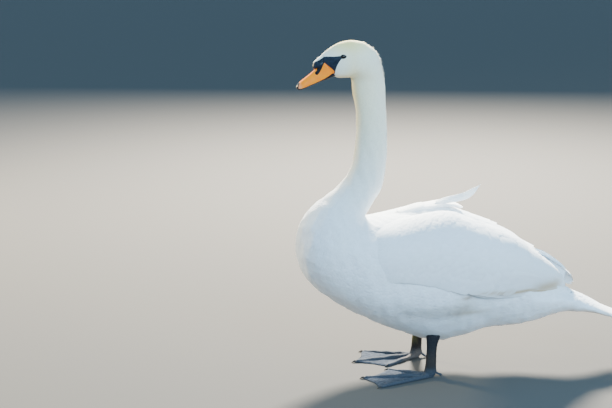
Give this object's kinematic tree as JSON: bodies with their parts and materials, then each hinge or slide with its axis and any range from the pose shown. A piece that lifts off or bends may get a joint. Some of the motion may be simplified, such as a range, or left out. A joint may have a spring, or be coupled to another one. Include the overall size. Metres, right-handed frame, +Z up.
{
  "type": "mute swan",
  "caption": "Life-size still model of an adult mute swan standing on both webbed feet, neck upright, wings folded, white plumage, orange bill with black knob.",
  "frame": {"origin": "bottom centre of the whole bird's box, on the floor that it stands on", "axes": "+Z up; the swan faces -X, so +X runs from bill to tail; its left side faces -Y"},
  "size_m": [0.8944, 0.314, 0.8335],
  "materials": {
    "plumage": "dense white contour feathers, soft and matt",
    "bill_horn": "smooth orange keratin, satin",
    "bare_skin": "bare black skin, slightly glossy",
    "leg_skin": "scaly dark grey leg skin, satin",
    "web_skin": "wrinkled blue-grey web skin, matt",
    "claw_horn": "dark horn, satin gloss",
    "eye": "very dark brown, wet gloss"
  },
  "bodies": {
    "root": {"trunk": "plumage", "neck_lower": "plumage", "neck_middle": "plumage", "neck_upper": "plumage", "head": "plumage", "tail": "plumage", "scapulars_right": "plumage", "plume_right": "plumage", "bill_upper": "bill_horn", "bill_lower": "bill_horn", "bill_nail": "claw_horn", "bill_knob": "bare_skin", "wing_left": "plumage", "flight_feathers_left": "plumage", "thigh_left": "plumage", "mask_left": "bare_skin", "eye_left": "eye", "tarsus_left": "leg_skin", "toe_hind_left": "leg_skin", "toe_inner_left": "leg_skin", "claw_inner_left": "claw_horn", "toe_middle_left": "leg_skin", "claw_middle_left": "claw_horn", "toe_outer_left": "leg_skin", "claw_outer_left": "claw_horn", "web_inner_left": "web_skin", "web_middle_left": "web_skin", "wing_right": "plumage", "flight_feathers_right": "plumage", "thigh_right": "plumage", "mask_right": "bare_skin", "eye_right": "eye", "tarsus_right": "leg_skin", "toe_hind_right": "leg_skin", "toe_inner_right": "leg_skin", "claw_inner_right": "claw_horn", "toe_middle_right": "leg_skin", "claw_middle_right": "claw_horn", "toe_outer_right": "leg_skin", "claw_outer_right": "claw_horn", "web_inner_right": "web_skin", "web_middle_right": "web_skin"}
  },
  "joints": []
}
